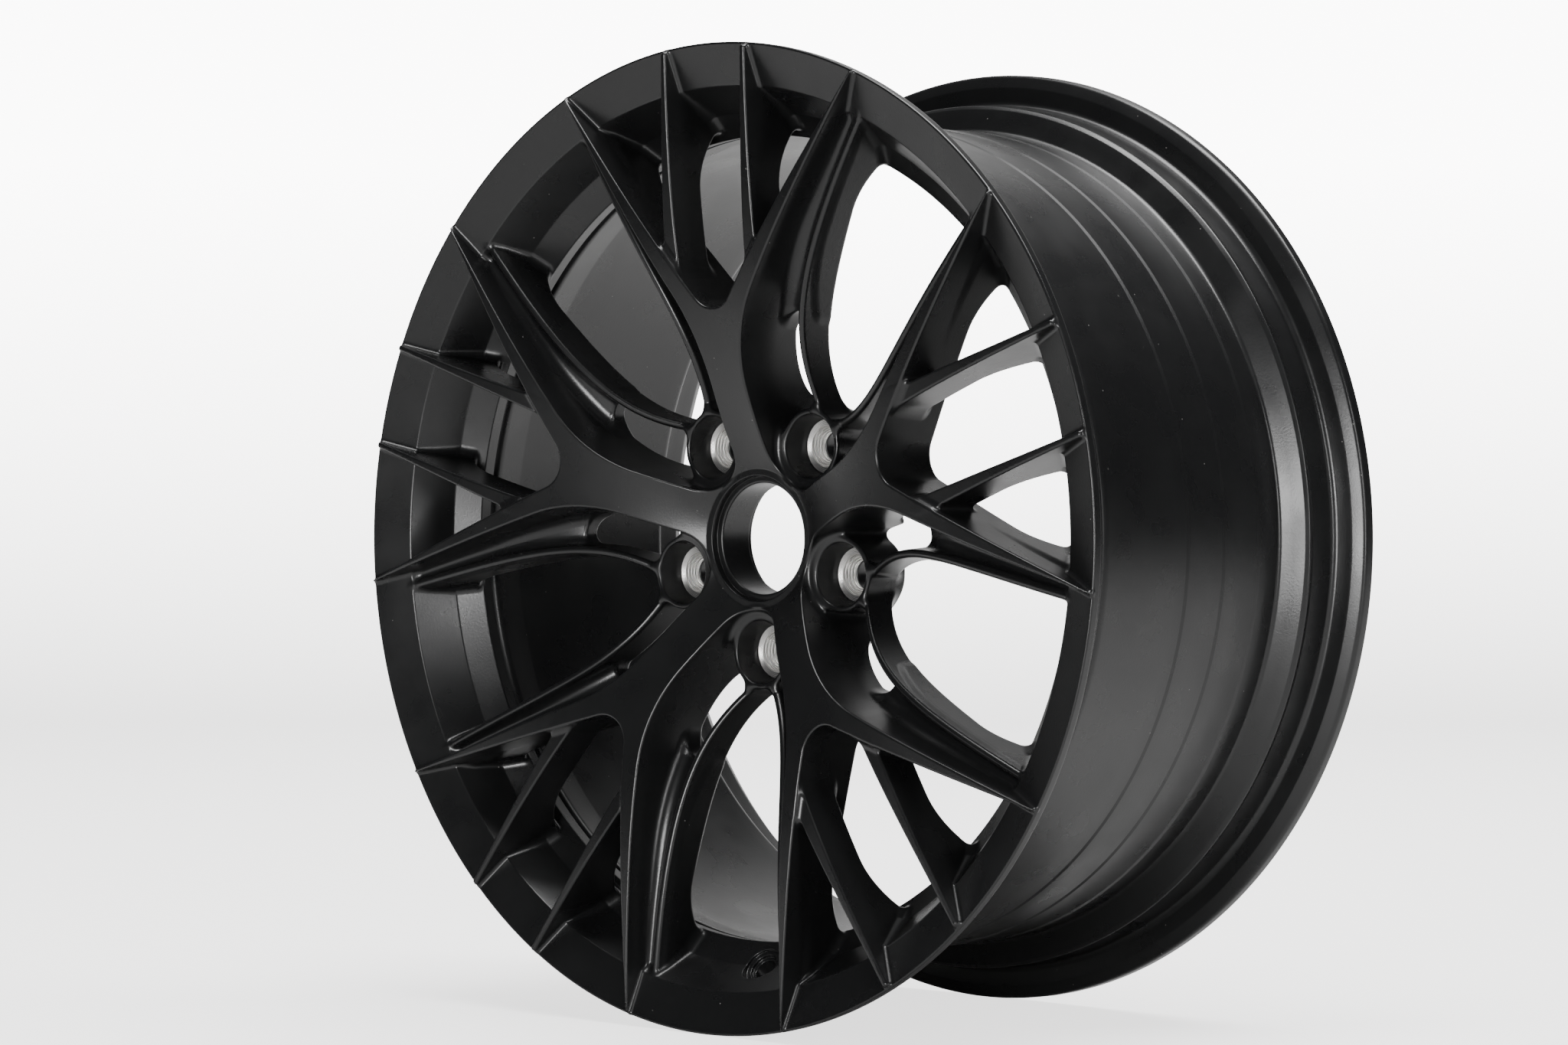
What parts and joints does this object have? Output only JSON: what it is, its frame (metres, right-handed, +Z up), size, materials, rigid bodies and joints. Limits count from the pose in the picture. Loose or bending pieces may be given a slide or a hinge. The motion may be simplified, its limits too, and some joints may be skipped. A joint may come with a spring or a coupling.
{
  "type": "forged racing wheel rim",
  "caption": "Monobloc forged wheel rim with split Y spokes, thin side branches, recessed bolt bosses and a drop-centre barrel.",
  "frame": {"origin": "middle of the wheel's overall box, on the spin axis", "axes": "+Y along the spin axis towards the vehicle, so the outboard face looks along -Y; +Z up, +X to the right as seen from outboard"},
  "size_m": [0.4918, 0.2258, 0.4918],
  "materials": {
    "powder_coat": "satin black powder coat with a fine orange peel",
    "bare_metal": "bare turned metal with concentric tool marks"
  },
  "bodies": {
    "root": {"outboard_flange": "powder_coat", "outboard_bead_seat": "powder_coat", "rim_barrel": "powder_coat", "inboard_bead_seat": "powder_coat", "inboard_flange": "powder_coat", "hub_center": "powder_coat", "spoke_1": "powder_coat", "leg_left_1": "powder_coat", "leg_right_1": "powder_coat", "branch_left_1": "powder_coat", "branch_right_1": "powder_coat", "spoke_2": "powder_coat", "leg_left_2": "powder_coat", "leg_right_2": "powder_coat", "branch_left_2": "powder_coat", "branch_right_2": "powder_coat", "spoke_3": "powder_coat", "leg_left_3": "powder_coat", "leg_right_3": "powder_coat", "branch_left_3": "powder_coat", "branch_right_3": "powder_coat", "spoke_4": "powder_coat", "leg_left_4": "powder_coat", "leg_right_4": "powder_coat", "branch_left_4": "powder_coat", "branch_right_4": "powder_coat", "spoke_5": "powder_coat", "leg_left_5": "powder_coat", "leg_right_5": "powder_coat", "branch_left_5": "powder_coat", "branch_right_5": "powder_coat", "bolt_boss_1": "powder_coat", "bolt_seat_1": "bare_metal", "rib_left_1": "powder_coat", "rib_right_1": "powder_coat", "bolt_boss_2": "powder_coat", "bolt_seat_2": "bare_metal", "rib_left_2": "powder_coat", "rib_right_2": "powder_coat", "bolt_boss_3": "powder_coat", "bolt_seat_3": "bare_metal", "rib_left_3": "powder_coat", "rib_right_3": "powder_coat", "bolt_boss_4": "powder_coat", "bolt_seat_4": "bare_metal", "rib_left_4": "powder_coat", "rib_right_4": "powder_coat", "bolt_boss_5": "powder_coat", "bolt_seat_5": "bare_metal", "rib_left_5": "powder_coat", "rib_right_5": "powder_coat"}
  },
  "joints": []
}
